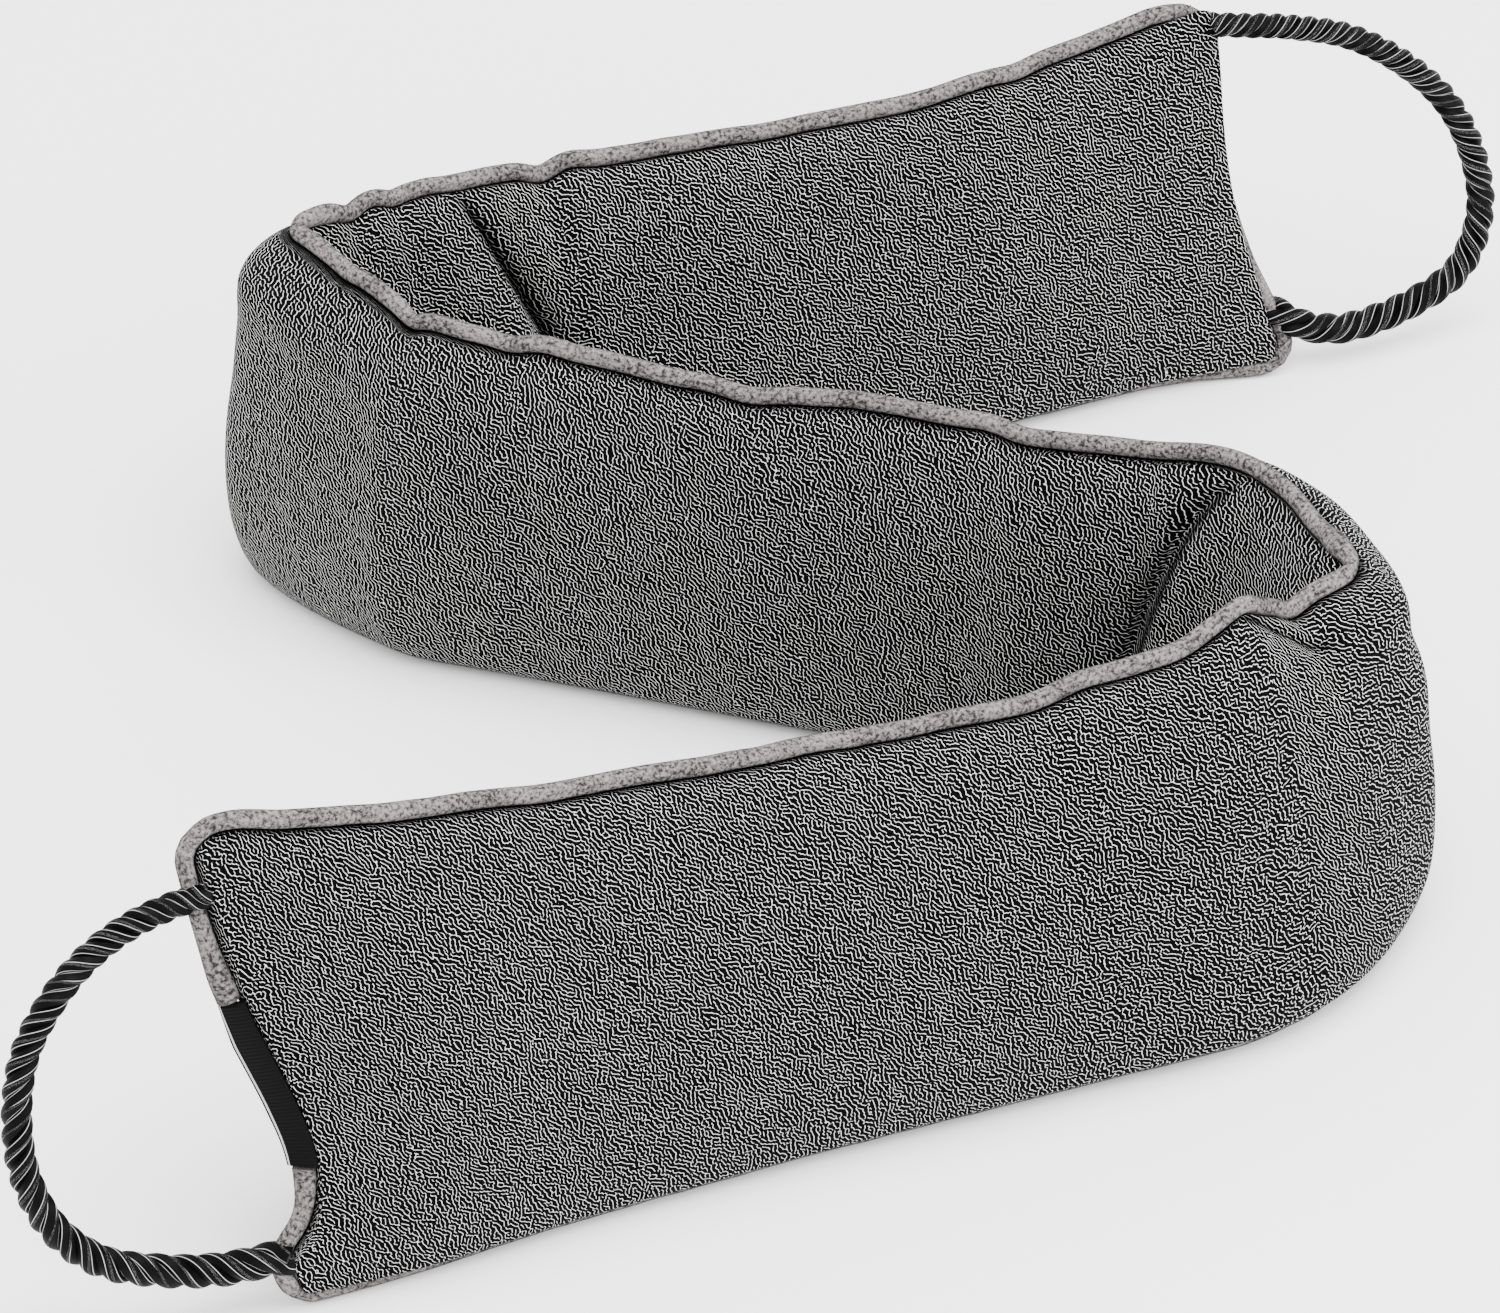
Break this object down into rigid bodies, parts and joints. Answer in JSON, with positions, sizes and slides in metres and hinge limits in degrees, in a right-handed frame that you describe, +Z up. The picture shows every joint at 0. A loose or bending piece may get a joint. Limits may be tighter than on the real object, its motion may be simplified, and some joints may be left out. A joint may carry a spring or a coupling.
{
  "type": "draught excluder",
  "caption": "Long filled fabric draught excluder, folded in a zigzag, with piped seams and a twisted rope carrying handle at each end.",
  "frame": {"origin": "middle of the footprint, on the floor", "axes": "+X to the right of the picture, along the limbs; +Y to the back, across the folds; +Z up"},
  "size_m": [0.3713, 0.4499, 0.1248],
  "materials": {
    "boucle_fabric": "grey looped pile cloth, matt",
    "piping_fabric": "smooth warm grey cloth, matt",
    "black_tape": "black woven tape, matt",
    "black_rope": "black twisted cord with a satin sheen"
  },
  "bodies": {
    "root": {"filled_body": "boucle_fabric", "seam_piping": "piping_fabric", "closure_tape": "black_tape", "rope_handle_left": "black_rope", "rope_handle_right": "black_rope"}
  },
  "joints": []
}
